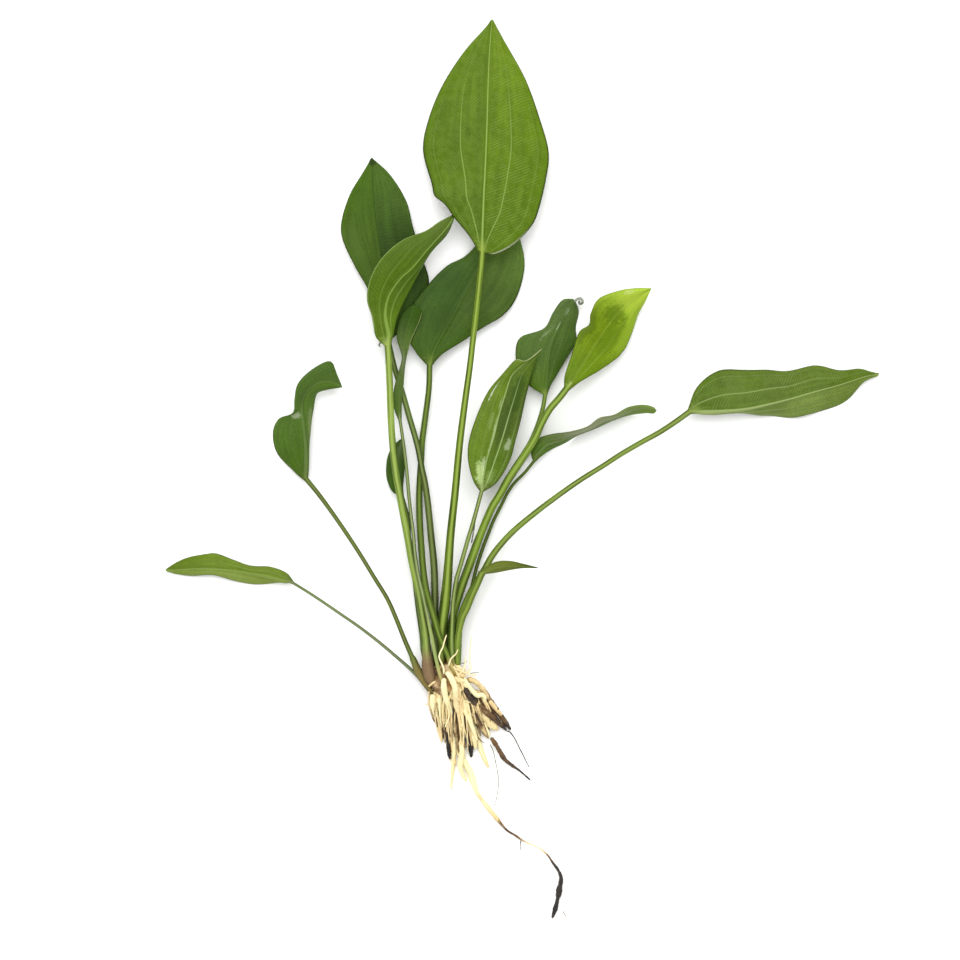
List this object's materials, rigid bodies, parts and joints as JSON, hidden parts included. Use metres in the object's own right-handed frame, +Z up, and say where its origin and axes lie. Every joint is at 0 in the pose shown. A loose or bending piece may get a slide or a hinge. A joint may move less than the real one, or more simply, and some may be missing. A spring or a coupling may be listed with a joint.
{
  "type": "echinodorus plant",
  "caption": "Bare-rooted echinodorus plant lying on its side, long-stalked green leaves fanned out from a short crown, cream to black roots below.",
  "frame": {"origin": "centre of the plant's box, at the level of the surface that it lies on", "axes": "+Y towards the tips of the leaves, +X to the right seen from above, +Z up from the surface"},
  "size_m": [0.238, 0.2998, 0.0136],
  "materials": {
    "leaf_mid": "satin, pale veins",
    "leaf_dark": "satin",
    "leaf_light": "satin",
    "leaf_lime": "satin",
    "root_cream": "damp, smooth",
    "root_tan": "damp, smooth",
    "root_brown": "damp, dull",
    "root_black": "damp, dull",
    "crown_skin": "damp, rough"
  },
  "bodies": {
    "root": {"leaf_tall": "leaf_mid", "leaf_upper_left": "leaf_dark", "leaf_curled": "leaf_light", "leaf_broad": "leaf_dark", "leaf_folded": "leaf_dark", "leaf_oval": "leaf_dark", "leaf_glossy": "leaf_mid", "leaf_dark_right": "leaf_dark", "leaf_lime": "leaf_lime", "leaf_edge_on": "leaf_dark", "leaf_long_right": "leaf_mid", "leaf_spear": "leaf_mid", "leaf_s_shaped": "leaf_dark", "leaf_far_left": "leaf_light", "crown": "crown_skin", "root_front": "root_cream", "root_front_left": "root_cream", "root_left": "root_cream", "root_left_inner": "root_cream", "root_hooked": "root_cream", "root_centre": "root_cream", "root_yellow": "root_cream", "root_right_pale": "root_cream", "root_tan_left": "root_tan", "root_tan_middle": "root_tan", "root_tan_right": "root_tan", "root_long": "root_tan", "root_dark_upper": "root_black", "root_dark_outer": "root_brown", "root_dark_inner": "root_brown", "root_brown_strip": "root_brown", "root_black": "root_black", "root_pointed": "root_brown"}
  },
  "joints": []
}
